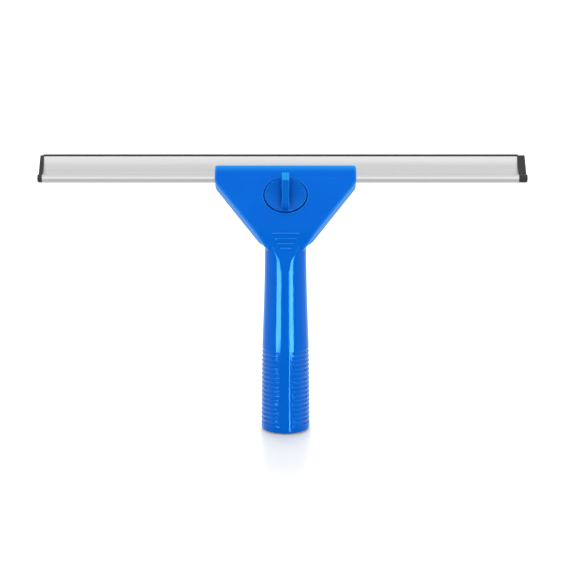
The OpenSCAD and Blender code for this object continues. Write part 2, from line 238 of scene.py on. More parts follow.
def sample(field, lines, block=6):
    """Values of a field on a grid. Away from the surface only their sign is right."""
    starts = [np.arange(0, len(line), block) for line in lines]
    ends = [np.minimum(s + block, len(line) - 1) for s, line in zip(starts, lines)]
    centres = [(line[s] + line[e]) / 2 for line, s, e in zip(lines, starts, ends)]
    halves = [(line[e] - line[s]) / 2 for line, s, e in zip(lines, starts, ends)]
    coarse = field(*np.meshgrid(*centres, indexing="ij"))
    reach = np.sqrt(sum(h ** 2 for h in np.meshgrid(*halves, indexing="ij")))
    near = np.abs(coarse) < 1.4 * reach + 1.0

    def spread(array):
        for axis, line in enumerate(lines):
            array = np.repeat(array, block, axis)
            array = np.take(array, np.arange(len(line)), axis)
        return array

    values = spread(coarse)
    index = np.nonzero(spread(near))
    for first in range(0, len(index[0]), 400000):
        part = tuple(i[first:first + 400000] for i in index)
        values[part] = field(*(line[i] for line, i in zip(lines, part)))
    return values


def gradient(field, points, step=0.02):
    slopes = []
    for axis in range(points.shape[1]):
        shift = np.zeros(points.shape[1])
        shift[axis] = step
        slopes.append((field(*(points + shift).T) - field(*(points - shift).T)) / (2 * step))
    return np.stack(slopes, 1)


def settle(field, points, reach, rounds=4):
    """Moves points onto the surface along the field's slope."""
    for _ in range(rounds):
        slope = gradient(field, points)
        steepness = np.maximum((slope ** 2).sum(1), 0.05)
        move = -(field(*points.T) / steepness)[:, None] * slope
        length = np.linalg.norm(move, axis=1)
        points = points + move * np.minimum(1, reach / np.maximum(length, 1e-9))[:, None]
    return points


def net_points(values, lines):
    """One point in each grid cell that the surface crosses, and each cell's point number."""
    size = values.ndim
    corners = [tuple((n >> axis) & 1 for axis in range(size)) for n in range(2 ** size)]

    def at(corner, cells):
        return values[tuple(c + o for c, o in zip(cells, corner))]

    inside = values < 0
    count = sum(inside[tuple(slice(o, inside.shape[a] - 1 + o) for a, o in enumerate(c))].astype(np.int8)
                for c in corners)
    active = (count > 0) & (count < len(corners))
    cells = np.nonzero(active)
    total, crossings = np.zeros((len(cells[0]), size)), np.zeros(len(cells[0]))
    for a in corners:
        for axis in range(size):
            if a[axis]:
                continue
            b = tuple(1 if n == axis else o for n, o in enumerate(a))
            va, vb = at(a, cells), at(b, cells)
            crosses = (va < 0) != (vb < 0)
            share = np.where(crosses, va / np.where(crosses, va - vb, 1), 0)
            place = np.stack([line[c + o] for line, c, o in zip(lines, cells, a)], 1)
            place[:, axis] += share * (lines[axis][cells[axis] + 1] - lines[axis][cells[axis]])
            total += np.where(crosses[:, None], place, 0)
            crossings += crosses
    number = np.full(active.shape, -1)
    number[cells] = np.arange(len(cells[0]))
    return total / crossings[:, None], number


def quads_of(values, number):
    """The quads that join the points round each grid edge that the surface crosses."""
    inside = values < 0
    quads = []
    for axis in range(3):
        u, v = (axis + 1) % 3, (axis + 2) % 3
        low, high = [slice(1, -1)] * 3, [slice(1, -1)] * 3
        low[axis], high[axis] = slice(0, -1), slice(1, None)
        first, second = inside[tuple(low)], inside[tuple(high)]
        for outward in (True, False):
            where = np.nonzero((first & ~second) if outward else (~first & second))
            base = [w.copy() for w in where]
            base[u] += 1
            base[v] += 1
            ring = []
            for du, dv in ((-1, -1), (0, -1), (0, 0), (-1, 0)):
                cell = list(base)
                cell[u], cell[v] = base[u] + du, base[v] + dv
                ring.append(number[tuple(cell)])
            quads.append(np.stack(ring if outward else ring[::-1], 1))
    return np.concatenate(quads)


def new_mesh(name, points, faces, matrix, normals=None):
    mesh = bpy.data.meshes.new(name)
    mesh.from_pydata([tuple(p) for p in points], [], [tuple(f) for f in faces])
    mesh.transform(matrix)
    mesh.polygons.foreach_set("use_smooth", np.ones(len(mesh.polygons), bool))
    mesh.update()
    if normals is not None:
        turned = normals @ np.array(matrix.to_3x3().normalized()).T
        lengths = np.linalg.norm(turned, axis=1, keepdims=True)
        mesh.normals_split_custom_set_from_vertices((turned / np.maximum(lengths, 1e-9)).tolist())
    piece = bpy.data.objects.new(name, mesh)
    bpy.context.scene.collection.objects.link(piece)
    return piece


def moulding(name, field, lines, matrix):
    """A mesh of the field's surface, with the field's own slope as its normals."""
    values = sample(field, lines)
    points, number = net_points(values, lines)
    faces = quads_of(values, number)
    reach = 0.7 * max(np.diff(line).max() for line in lines)
    points = settle(field, points, reach)
    used = np.unique(faces)
    renumber = np.full(len(points), -1)
    renumber[used] = np.arange(len(used))
    points, faces = points[used], renumber[faces]
    return new_mesh(name, points, faces, matrix, gradient(field, points))


def section_loops(field, lines):
    """Closed outlines of a 2-D field, each an ordered array of points."""
    values = sample(field, lines)
    points, number = net_points(values, lines)
    points = settle(field, points, 0.7 * np.diff(lines[0]).max())
    inside = values < 0
    links = {}
    for axis in range(2):
        low, high = [slice(1, -1)] * 2, [slice(1, -1)] * 2
        low[axis], high[axis] = slice(0, -1), slice(1, None)
        cells = list(np.nonzero(inside[tuple(low)] != inside[tuple(high)]))
        cells[1 - axis] = cells[1 - axis] + 1
        before = list(cells)
        before[1 - axis] = cells[1 - axis] - 1
        for a, b in zip(number[tuple(before)].tolist(), number[tuple(cells)].tolist()):
            links.setdefault(a, []).append(b)
            links.setdefault(b, []).append(a)
    loops = []
    while links:
        start = next(iter(links))
        loop, here, last = [], start, None
        while True:
            loop.append(here)
            onward = [n for n in links.pop(here) if n != last and n in links]
            if not onward:
                break
            last, here = here, onward[0]
        loops.append(points[loop])
    return [loop for loop in loops if len(loop) > 8]


def extrusion(name, field, lines, stations, matrix):
    """Sweeps a (y, z) section along x through the stations, and closes both ends."""
    loops = section_loops(field, lines)
    points, normals, faces, offsets = [], [], [], []
    for loop in loops:
        offsets.append(len(points))
        slope = gradient(field, loop)
        count = len(loop)
        ahead = np.roll(loop, -1, 0) - loop
        turn = ahead[:, 0] * slope[:, 1] - ahead[:, 1] * slope[:, 0]
        order = 1 if turn.sum() < 0 else -1
        for x in stations:
            points += [(x, y, z) for y, z in loop]
            normals += [(0, y, z) for y, z in slope]
        for ring in range(len(stations) - 1):
            base = offsets[-1] + ring * count
            for i in range(count):
                j = (i + 1) % count
                quad = (base + i, base + j, base + count + j, base + count + i)
                faces.append(quad if order > 0 else quad[::-1])
    triangles = tessellate_polygon([[Vector((y, z, 0)) for y, z in loop] for loop in loops])
    flat = [(y, z) for loop in loops for y, z in loop]
    for end, x in ((0, stations[0]), (1, stations[-1])):
        base = len(points)
        points += [(x, y, z) for y, z in flat]
        normals += [(1 if end else -1, 0, 0)] * len(flat)
        for a, b, c in triangles:
            area = ((flat[b][0] - flat[a][0]) * (flat[c][1] - flat[a][1])
                    - (flat[b][1] - flat[a][1]) * (flat[c][0] - flat[a][0]))
            corner = (a, b, c) if (area > 0) == bool(end) else (c, b, a)
            faces.append(tuple(base + n for n in corner))
    return new_mesh(name, points, faces, matrix, np.array(normals, float))


# ---------- the handle and head ----------

def handle_radius(z):
    """Outer radius of the handle: a barely tapered grip that swells out of a slim neck."""
    grip = GRIP_R - 0.009 * z
    neck = NECK_R + 2.0 * (np.maximum(130 - z, 0) / 70) ** 1.5
    return -np.logaddexp(-grip * 5, -neck * 5) / 5


def groove_depth(x, z):
    """How deep the grip's grooves are at a height, away from the smooth bands front and back."""
    step = np.clip(np.round((z - GROOVE_FIRST) / GROOVE_PITCH), 0, GROOVE_COUNT - 1)
    away = np.abs(z - GROOVE_FIRST - step * GROOVE_PITCH)
    across = 0.3 * smooth_step((np.abs(x) - BAND_HALF) / 0.5)
    across += 0.7 * smooth_step((np.abs(x) - 2 * BAND_HALF) / 6.0)
    return GROOVE_DEPTH * smooth_step((1.15 - away) / 0.7) * across


def front_face(y, z, hy, hz):
    """Distance in front of the front face: up the handle, round the bend, up the head."""
    lean = math.atan2(UP[1], UP[2])
    top_y, top_z = from_head(FACE_Y, FACE_TOP)
    centre_y = -NECK_R + BEND_R
    centre_z = top_z - (top_y + NECK_R) / math.tan(lean) - BEND_R * math.tan(lean / 2)
    tangent = to_head(centre_y - BEND_R * math.cos(lean), centre_z + BEND_R * math.sin(lean))[1]
    bend = np.hypot(y - centre_y, z - centre_z) - BEND_R
    straight = -NECK_R - y - 0.35 * (centre_z - z)
    return np.where(hz > tangent, FACE_Y - hy, np.where(z < centre_z, straight, bend))


def slanted_side(x, hz):
    """Distance outside the head's slanted sides."""
    run, drop = HEAD_HALF - SLANT_HALF, SLANT_LENGTH
    length = math.hypot(run, drop)
    return ((np.abs(x) - HEAD_HALF) * drop + (SIDE_END - hz) * run) / length


def cavity(x, hz, inset):
    """The room for the mechanism in plan, shrunk all round by inset."""
    sides = cut(np.abs(x) - (HEAD_HALF - CAVITY_WALL), slanted_side(x, hz) + WALL, 1.0)
    return all_of(sides, hz - CAVITY_TOP, CAVITY_FOOT - hz) + inset


def handle_field(x, y, z):
    hy, hz = to_head(y, z)
    front = front_face(y, z, hy, hz)
    # Witness line where the seat's floor meets the front plate
    front = front + 0.12 * np.exp(-((hz + 0.3) / 0.35) ** 2)
    # The face rolls back a little towards its top edge
    front = front + np.maximum(hz - LIP_START, 0) ** 2 / (2 * LIP_R)

    grip = np.hypot(x, y) - handle_radius(z) + groove_depth(x, z)
    sides = cut(cut(np.abs(x) - HEAD_HALF, hz - FACE_TOP, 3.0), slanted_side(x, hz), 1.5)
    sides = blend(sides, np.abs(x) - NECK_R, 2.5)
    slab = cut(sides, hy - RIM_Y, 0.5)
    for height, half in BARS:
        bar = cut(np.abs(hz - height) - 0.6, np.abs(x) - half, 0.3)
        front = join(front, cut(front - 0.6, bar, 0.35), 0.25)
    # The slab ends in the neck's round sides, and the fillet between them stays behind the face
    slab = cut(cut(slab, front, 0.9), EAR_FOOT - z, 4.0)
    fillet = 0.05 + 2.6 * smooth_step((-front - 0.4) / 3)
    body = join(slab, cut(grip, front, 0.4), fillet)
    body = cut(body, hz - FACE_TOP, 1.6)
    body = cut(body, -z, 1.2)

    # Seat of the channel, with the hook over its bead
    seat = any_of(all_of(SEAT_FRONT - hy, hz - HOOK_Z), HOOK_Y - hy)
    body = cut(body, -cut(seat, FLOOR_Z - hz, 0.3), 0.35)
    # Cavity for the mechanism, its screw bosses and guides
    hollow = cut(cavity(x, hz, 0), FACE_Y + WALL - hy, 0.6)
    for bx, bz in SCREWS:
        hollow = cut(hollow, -all_of(np.hypot(x - bx, hz - bz) - BOSS_R, hy - 0.5), 0.3)
    guides = all_of(np.abs(np.abs(x) - GUIDE_X) - GUIDE_HALF,
                    np.abs(hz - GUIDE_Z) - GUIDE_REACH, hy - GUIDE_BACK)
    body = cut(body, -cut(hollow, -guides, 0.2), 0.3)
    slot = all_of(np.abs(x) - SLOT_HALF, FACE_Y + WALL - hy, CAVITY_TOP - 1 - hz, hz - 0.6)
    body = all_of(body, -slot)
    # Knob recess, hub bore, screw holes
    spread = np.hypot(x, hz - KNOB_Z)
    body = cut(body, -all_of(spread - RECESS_R, hy - LEDGE_Y), 0.3)
    body = all_of(body, -all_of(spread - HUB_R - 0.05, hy + 2))
    # Pole socket with its chamfer, and the core above it
    reach = np.hypot(x, y)
    socket = all_of(reach - SOCKET_R - np.maximum(1.2 - z, 0), z - SOCKET_DEPTH)
    core = all_of(reach - CORE_R, z - CORE_TOP)
    return cut(body, -any_of(socket, core), 0.3)


def make_handle():
    quick_step = 1.0
    step, fine = 1.0 * quick_step, 0.595 * quick_step
    top = from_head(FACE_Y, FACE_TOP)[1] + 1.5
    lines = (
        grid_line(-53, 53, step, [(-18.5, 18.5)], fine * 1.2),
        grid_line(-19.5, 47, fine * 1.3),
        grid_line(-1.5, top, step, [(0, 60), (118, top)], fine))
    return moulding("handle_shell", handle_field, lines, WORLD_MATRIX)


# ---------- the rear cover ----------

def cover_field(x, y, z):
    outline = cavity(x, z, 0.15)
    plate = cut(outline, np.abs(y - (BACK_Y + 0.1) / 2) - (BACK_Y - 0.1) / 2, 0.5)
    hollow = all_of(outline + COVER_RIM, y - (BACK_Y - COVER_WALL))
    spread = np.hypot(x, z - KNOB_Z)
    posts = any_of(*[np.hypot(x - bx, z - bz) - BOSS_R for bx, bz in SCREWS],
                   spread - BEARING_R + np.maximum(BEARING_FRONT - y, 0) * 50)
    plate = cut(plate, -all_of(hollow, -posts), 0.2)
    jaw_half = HEAD_HALF - 3.0
    jaw = cut(cut(np.abs(x) - jaw_half, np.abs(z - JAW_Z) - JAW_REACH, 1.5),
              np.abs(y - (SEAT_BACK + BACK_Y) / 2) - (BACK_Y - SEAT_BACK) / 2, 0.5)
    solid = join(plate, jaw, 0.4)
    solid = all_of(solid, -all_of(np.abs(x) - SLOT_HALF, z + 2.5, -11.5 - z, y - SEAT_BACK))
    # Spindle bearing, washer seat and screw recesses
    solid = all_of(solid, SPINDLE_R + 0.05 - spread)
    solid = cut(solid, -all_of(spread - WASHER_SEAT_R, WASHER_SEAT_Y - y), 0.25)
    for bx, bz in SCREWS:
        reach = np.hypot(x - bx, z - bz)
        solid = all_of(solid, SCREW_HOLE_R - reach)
        solid = cut(solid, -all_of(reach - SCREW_HEAD_R - 0.3, BACK_Y - SCREW_HEAD_T - y), 0.25)
    return solid


def make_cover():
    step = 0.45
    lines = (grid_line(-49, 49, step), grid_line(-1, 7, step * 0.8), grid_line(-34, 11.5, step))
    return moulding("rear_cover_shell", cover_field, lines, HEAD_MATRIX)


# ---------- screws ----------

def screw_field(length):
    """A domed screw with a cross recess, its head resting on y = 0 and its shank towards -y."""
    def field(x, y, z):
        reach = np.hypot(x, z)
        head = cut(reach - SCREW_HEAD_R, np.abs(y - SCREW_HEAD_T / 2) - SCREW_HEAD_T / 2, 0.12)
        dome = np.sqrt(reach ** 2 + (y - SCREW_HEAD_T + SCREW_DOME_R) ** 2) - SCREW_DOME_R
        head = cut(head, dome, 0.1)
        shank = all_of(reach - SCREW_R, y - 0.2, -length - y)
        flare = 0.36 + 0.10 * (y - SCREW_HEAD_T)
        arms = any_of(all_of(np.abs(x) - flare, np.abs(z) - CROSS_HALF),
                      all_of(np.abs(z) - flare, np.abs(x) - CROSS_HALF))
        cross = all_of(arms, 0.55 - y, reach - 1.5 - 0.6 * (y - SCREW_HEAD_T))
        return cut(join(head, shank, 0.15), -cross, 0.06)
    return field


def make_screws(name, places, under):
    """One piece of screws whose heads rest on y = under, each turned a little differently."""
    step = 0.11
    lines = (grid_line(-3, 3, step), grid_line(-SCREW_LENGTH - 0.5, 1.9, step), grid_line(-3, 3, step))
    piece = None
    for turn, (sx, sz) in enumerate(places):
        place = HEAD_MATRIX @ Matrix.Translation((sx, under, sz))
        turned = Matrix.Rotation(0.5 + 0.9 * turn, 4, "Y")
        one = moulding(name, screw_field(SCREW_LENGTH), lines, place @ turned)
        if piece is None:
            piece = one
            continue
        with bpy.context.temp_override(active_object=piece, selected_editable_objects=[piece, one]):
            bpy.ops.object.join()
    return piece


# ---------- the knob ----------

def knob_field(x, y, z):
    spread = np.hypot(x, z)
    disc_back = LEDGE_Y - 0.05
    middle, half = (KNOB_TOP + disc_back) / 2, (disc_back - KNOB_TOP) / 2
    disc = cut(spread - KNOB_R, np.abs(y - middle) - half, 0.45)
    # Finger dish, deepest beside the fin
    dish = np.sqrt(spread ** 2 + (y - KNOB_TOP + DISH_R - DISH_DEPTH) ** 2) - DISH_R
    disc = cut(disc, -dish, 0.5)
    # Fin with drafted sides, seen from the side as (y, z)
    side = polygon(y, z, FIN_SIDE)
    fin = cut(side, np.abs(x) - FIN_HALF - FIN_DRAFT * (y - KNOB_TOP), 0.6)
    hub = all_of(spread - HUB_R, y - HUB_BACK, -5.5 - y)
    spindle = all_of(spread - SPINDLE_R, y - SPINDLE_END, -4 - y)
    return any_of(join(disc, fin, 0.5), hub, spindle)


def make_knob():
    step = 0.26
    lines = (grid_line(-16, 16, step), grid_line(KNOB_TOP - 9, 5.4, step), grid_line(-16, 16, step))
    matrix = HEAD_MATRIX @ Matrix.Translation((0, 0, KNOB_Z))
    return moulding("knob_dial", knob_field, lines, matrix)


# ---------- channel, rubber and caps ----------

BEAD_R = 2.7
BEAD_Y = -0.5
BEAD_Z = 2.9
HEEL_Y = 3.0
HEEL_CHAMFER = 1.7
BEAD_TOP = 5.2
PLATE_T = 1.8
LIP_Y = -2.4
CHANNEL_TOP = 21.5
PLATE_MIDDLE = (BEAD_TOP + CHANNEL_TOP) / 2
PLATE_HALF = (CHANNEL_TOP - BEAD_TOP) / 2
CONCAVE = 2.4
GROOVE_Y = 2.4
GROOVE_Z = 16.6
GROOVE_R = 2.4
GROOVE_WALL = 1.5
GROOVE_MOUTH = 5.2
MOUTH_HALF = 0.95
BLADE_ANGLE = math.radians(16)
BLADE_REACH = 8.1
BLADE_HALF = 0.8        # half thickness at the cap, thinning to EDGE_HALF
EDGE_HALF = 0.55
RUBBER_BEAD_R = 2.3
LIP_OVERHANG = 2.0
LIP_CLEAR = 0.6


def channel_face(z):
    """y of the channel's concave front face."""
    bow = CONCAVE * (1 - ((z - PLATE_MIDDLE) / PLATE_HALF) ** 2)
    return LIP_Y + 0.4 + bow - 0.4 * (z - BEAD_TOP) / (2 * PLATE_HALF)


def along_blade(y, z):
    """Distance across and along the blade from the middle of its groove."""
    dy, dz = y - GROOVE_Y, z - GROOVE_Z
    return (dy * math.cos(BLADE_ANGLE) - dz * math.sin(BLADE_ANGLE),
            dy * math.sin(BLADE_ANGLE) + dz * math.cos(BLADE_ANGLE))


def channel_section(y, z):
    face = channel_face(z)
    steepness = 4 * CONCAVE * (z - PLATE_MIDDLE) / PLATE_HALF ** 2
    through = np.maximum(face - y, y - face - PLATE_T) / np.sqrt(1 + steepness ** 2)
    plate = cut(through, np.abs(z - PLATE_MIDDLE) - PLATE_HALF, 0.35)
    bead = np.hypot(y - BEAD_Y, z - BEAD_Z) - BEAD_R
    heel = cut(np.maximum(BEAD_Y - y, y - HEEL_Y), np.abs(z - BEAD_TOP / 2) - BEAD_TOP / 2, 0.4)
    heel = cut(heel, (y - z - HEEL_Y + HEEL_CHAMFER) * math.sqrt(0.5), 0.3)
    neck = polygon(y, z, [(-0.6, 4.4), (2.2, 4.4), (1.6, 6.6), (-1.2, 6.6)])
    across, along = along_blade(y, z)
    tube = np.hypot(y - GROOVE_Y, z - GROOVE_Z) - GROOVE_R - GROOVE_WALL
    tube = np.maximum(tube, face + 0.2 - y)
    lips = cut(np.abs(across) - MOUTH_HALF - GROOVE_WALL, np.maximum(-along, along - GROOVE_MOUTH), 0.4)
    web = polygon(y, z, [(LIP_Y + 0.2, 21.3), (-1.2, 19.4), (1.6, 19.4), (2.2, 20.9)])
    solid = any_of(join(join(plate, tube, 0.4), lips, 0.3), web)
    solid = join(solid, any_of(bead, heel, neck), 0.35)
    groove = any_of(np.hypot(y - GROOVE_Y, z - GROOVE_Z) - GROOVE_R,
                    all_of(np.abs(across) - MOUTH_HALF, -along))
    chamber = polygon(y, z, [(-1.8, 1.7), (-1.2, 1.1), (1.7, 1.1), (1.7, 4.0), (-1.2, 4.0), (-1.8, 3.4)])
    return cut(solid, -any_of(groove, chamber), 0.2)


def rubber_section(y, z):
    across, along = along_blade(y, z)
    bead = np.hypot(y - GROOVE_Y, z - GROOVE_Z) - RUBBER_BEAD_R
    half = np.interp(along, [GROOVE_MOUTH + 2, GROOVE_MOUTH + BLADE_REACH], [BLADE_HALF, EDGE_HALF])
    blade = cut(np.abs(across) - half, np.maximum(-along, along - GROOVE_MOUTH - BLADE_REACH), 0.12)
    return join(bead, blade, 0.5)


def channel_stations():
    """x of the channel's ends, in mm."""
    low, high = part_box("channel")
    return low.x / MM, high.x / MM


def make_channel():
    step = 0.1
    x0, x1 = channel_stations()
    lines = (grid_line(-4.5, 9, step), grid_line(-1, 23, step))
    stations = np.linspace(x0, x1, 33)
    return extrusion("channel_extrusion", channel_section, lines, stations, HEAD_MATRIX)


def lip_section(y, z):
    """The part of the rubber that stands clear of the end caps."""
    return np.maximum(rubber_section(y, z), GROOVE_MOUTH + LIP_CLEAR - along_blade(y, z)[1])


def make_rubber():
    """The rubber, with its lip reaching out over the end caps."""
    step = 0.08
    x0, x1 = channel_stations()
    lines = (grid_line(-1, 9, step), grid_line(13, 31, step))
    piece = extrusion("wiper_rubber", rubber_section, lines, np.linspace(x0, x1, 33), HEAD_MATRIX)
    for inner, outer in ((x0 - LIP_OVERHANG, x0), (x1, x1 + LIP_OVERHANG)):
        tip = extrusion("wiper_tip", lip_section, lines, (inner, outer), HEAD_MATRIX)
        with bpy.context.temp_override(active_object=piece, selected_editable_objects=[piece, tip]):
            bpy.ops.object.join()
    return piece


MOUTH_BACK = (GROOVE_Y + GROOVE_MOUTH * math.sin(BLADE_ANGLE) + MOUTH_HALF + GROOVE_WALL,
              GROOVE_Z + GROOVE_MOUTH * math.cos(BLADE_ANGLE))
CAP_BEAD_R = 2.8
FOOT_PROUD = 0.6        # how far a cap's foot stands out past its flange
CAP_OUTLINE = (
    [(BEAD_Y + CAP_BEAD_R * math.cos(math.radians(a)),
      CAP_BEAD_R + CAP_BEAD_R * math.sin(math.radians(a)))
     for a in range(270, 110, -15)]
    + [(channel_face(BEAD_TOP) - 0.2, BEAD_TOP + 0.2), (LIP_Y - 0.2, CHANNEL_TOP + 0.8), MOUTH_BACK,
       (6.4, 17.6), (6.3, 15.1), (4.8, 13.2), (3.1, 7.2), (3.1, 2.1), (1.0, 0.0)])

# The plug that fills the channel's chamber
PLUG_OUTLINE = [(-1.6, 1.7), (-1.1, 1.25), (1.55, 1.25), (1.55, 3.85), (-1.1, 3.85), (-1.6, 3.4)]
PLUG_DEPTH = 9


def cap_field(inner, thickness):
    """A cap whose flange starts at x = inner and grows by thickness, which is negative to the left."""
    side = 1 if thickness > 0 else -1

    def field(x, y, z):
        out = (x - inner) * side
        flange = cut(polygon(y, z, CAP_OUTLINE), np.maximum(-out, out - abs(thickness)), 0.45)
        foot = cut(np.hypot(y - BEAD_Y, z - CAP_BEAD_R) - CAP_BEAD_R,
                   np.maximum(-out, out - abs(thickness) - FOOT_PROUD), 0.5)
        plug = all_of(polygon(y, z, PLUG_OUTLINE), out - 1, -PLUG_DEPTH - out)
        return any_of(join(flange, foot, 0.3), plug)
    return field


def make_cap(name, node, inner, thickness):
    step = 0.22
    low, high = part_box(node)
    lines = (
        grid_line(low.x / MM - 1, high.x / MM + 1, step),
        grid_line(-4.5, 9, step),
        grid_line(-1.2, 23, step))
    return moulding(name, cap_field(inner, thickness), lines, HEAD_MATRIX)


# ---------- materials ----------

def srgb(*values):
    """Linear colour of an 8-bit sRGB colour."""
    shares = [v / 255 for v in values]
    return tuple(s / 12.92 if s <= 0.04045 else ((s + 0.055) / 1.055) ** 2.4 for s in shares) + (1.0,)


def colour_mix(tree, factor, first, second):
    """Goes from the first colour to the second as factor goes from 0 to 1."""
    node = tree.nodes.new("ShaderNodeMix")
    node.data_type = "RGBA"
    sockets = [socket for socket in node.inputs if socket.type == "RGBA"]
    for socket, colour in zip(sockets, (first, second)):
        if isinstance(colour, tuple):
            socket.default_value = colour
        else:
            tree.links.new(colour, socket)
    tree.links.new(factor, node.inputs[0])
    return [socket for socket in node.outputs if socket.type == "RGBA"][0]


class Nodes:
    """A material's node tree, with short ways to add and join nodes."""

    def __init__(self, name):
        self.material = bpy.data.materials.new(name)
        self.material.use_nodes = True
        self.tree = self.material.node_tree
        self.shader = self.tree.nodes["Principled BSDF"]

    def add(self, kind, **settings):
        node = self.tree.nodes.new(kind)
        for key, value in settings.items():
            setattr(node, key, value)
        return node

    def link(self, source, target):
        self.tree.links.new(source, target)

    def position(self, scale):
        """The piece's own coordinates, stretched by scale."""
        where = self.add("ShaderNodeTexCoord")
        mapping = self.add("ShaderNodeMapping")
        mapping.inputs["Scale"].default_value = scale
        self.link(where.outputs["Object"], mapping.inputs["Vector"])
        return mapping.outputs["Vector"]

    def noise(self, scale, detail=3.0, roughness=0.5, stretch=(1, 1, 1)):
        noise = self.add("ShaderNodeTexNoise")
        noise.inputs["Scale"].default_value = scale
        noise.inputs["Detail"].default_value = detail
        noise.inputs["Roughness"].default_value = roughness
        self.link(self.position(stretch), noise.inputs["Vector"])
        return noise.outputs["Fac"]

    def ramp(self, value, low, high, start=0.0, end=1.0):
        """Maps a value from low..high to start..end."""
        node = self.add("ShaderNodeMapRange")
        for key, number in (("From Min", low), ("From Max", high), ("To Min", start), ("To Max", end)):
            node.inputs[key].default_value = number
        self.link(value, node.inputs["Value"])
        return node.outputs["Result"]

    def blend(self, factor, first, second):
        return colour_mix(self.tree, factor, first, second)

    def bump(self, height, strength, distance, under=None):
        node = self.add("ShaderNodeBump")
        node.inputs["Strength"].default_value = strength
        node.inputs["Distance"].default_value = distance
        self.link(height, node.inputs["Height"])
        if under is not None:
            self.link(under, node.inputs["Normal"])
        return node.outputs["Normal"]

    def set(self, **values):
        for key, value in values.items():
            self.shader.inputs[key.replace("_", " ")].default_value = value

    def feed(self, **sources):
        for key, source in sources.items():
            self.link(source, self.shader.inputs[key.replace("_", " ")])


def blue_plastic(name, light, dark, highlight_bands):
    """Glossy moulded plastic, paler along its edges as wear and painted highlight, and darker in its
    corners as painted shade.

    Each band is a direction and two distances along it, in metres, between which the plastic
    turns paler as a painted highlight. Where several are given they have to meet.
    """
    m = Nodes(name)
    m.set(IOR=1.47, Specular_Tint=(0.06, 0.35, 1.0, 1.0))
    body = m.blend(m.ramp(m.noise(28, 4), 0.35, 0.65), dark, light)
    # Convex edges turn paler: partly wear, partly a painted highlight.
    edge = m.add("ShaderNodeNewGeometry").outputs["Pointiness"]
    worn_and_lit = m.blend(m.ramp(edge, 0.51, 0.56), body, EDGE_WEAR_AND_HIGHLIGHT_BLUE)
    # The bands paint a highlight where the surface faces the light above.
    pale = None
    for direction, low, high in highlight_bands:
        along = m.add("ShaderNodeVectorMath", operation="DOT_PRODUCT")
        along.inputs[1].default_value = direction
        m.link(m.add("ShaderNodeTexCoord").outputs["Object"], along.inputs[0])
        band = m.ramp(along.outputs["Value"], low, high)
        if pale is not None:
            both = m.add("ShaderNodeMath", operation="MULTIPLY")
            m.link(pale, both.inputs[0])
            m.link(band, both.inputs[1])
            band = both.outputs["Value"]
        pale = band
    worn_and_lit = m.blend(pale, worn_and_lit, PAINTED_HIGHLIGHT_BLUE)
    # Painted shade: the colour darkens in corners, crevices and gaps where other surfaces are near.
    near = m.add("ShaderNodeAmbientOcclusion", samples=6)
    near.inputs["Distance"].default_value = 0.005
    m.feed(Base_Color=m.blend(m.ramp(near.outputs["AO"], 0.8, 0.3), worn_and_lit, CORNER_SHADE_BLUE),
           Roughness=m.ramp(m.noise(60, 5, 0.6), 0.3, 0.7, 0.06, 0.1))
    grain = m.bump(m.noise(2600, 2), 0.04, 0.0001)
    m.feed(Normal=m.bump(m.noise(70, 2), 0.015, 0.0005, grain))
    return m.material


def aluminium():
    m = Nodes("anodised_aluminium")
    m.set(Metallic=1.0, Anisotropic=0.8)
    m.feed(Tangent=m.add("ShaderNodeTangent", direction_type="RADIAL", axis="X").outputs["Tangent"])
    lines = m.noise(1.0, 2, 0.6, (9, 3600, 3600))
    broad = m.noise(1.0, 2, 0.5, (5, 300, 300))
    m.feed(Base_Color=m.blend(m.ramp(broad, 0.3, 0.7), srgb(237, 237, 238), srgb(243, 243, 244)),
           Roughness=m.ramp(lines, 0.3, 0.7, 0.26, 0.34))
    m.feed(Normal=m.bump(lines, 0.05, 0.00006))
    return m.material


def black_rubber(name, low, high):
    m = Nodes(name)
    m.feed(Base_Color=m.blend(m.noise(40, 4), low, high),
           Roughness=m.ramp(m.noise(120, 4), 0.3, 0.7, 0.5, 0.68))
    m.feed(Normal=m.bump(m.noise(1500, 3), 0.15, 0.0001))
    return m.material


def black_plastic():
    m = Nodes("black_cap_plastic")
    m.feed(Base_Color=m.blend(m.noise(60, 3), srgb(34, 34, 36), srgb(46, 46, 48)),
           Roughness=m.ramp(m.noise(200, 4), 0.3, 0.7, 0.32, 0.46))
    m.feed(Normal=m.bump(m.noise(1800, 2), 0.12, 0.00012))
    return m.material


def white_plastic():
    m = Nodes("natural_slide_plastic")
    m.feed(Base_Color=m.blend(m.noise(50, 3), srgb(214, 214, 208), srgb(226, 226, 222)),
           Roughness=m.ramp(m.noise(150, 3), 0.3, 0.7, 0.38, 0.5))
    return m.material


def steel():
    m = Nodes("stainless_steel")
    m.set(Metallic=1.0)
    m.feed(Base_Color=m.blend(m.noise(400, 3), srgb(168, 168, 170), srgb(188, 188, 190)),
           Roughness=m.ramp(m.noise(700, 4), 0.3, 0.7, 0.22, 0.4))
    m.feed(Normal=m.bump(m.noise(2600, 2), 0.12, 0.00006))
    return m.material


def dress(piece, material):
    piece.data.materials.clear()
    piece.data.materials.append(material)


def fit(piece, material, body, node):
    dress(piece, material)
    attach(piece, body)
    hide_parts(node)


# ---------- assembly ----------

# Edge colour: wear and painted highlight.
EDGE_WEAR_AND_HIGHLIGHT_BLUE = srgb(30, 138, 240)
# Corner colour: painted shade.
CORNER_SHADE_BLUE = srgb(0, 62, 160)
# Pale colour: painted highlight.
PAINTED_HIGHLIGHT_BLUE = srgb(8, 142, 214)
base_up, base_back = HEAD.dot(UP) * MM, HEAD.dot(BACK) * MM
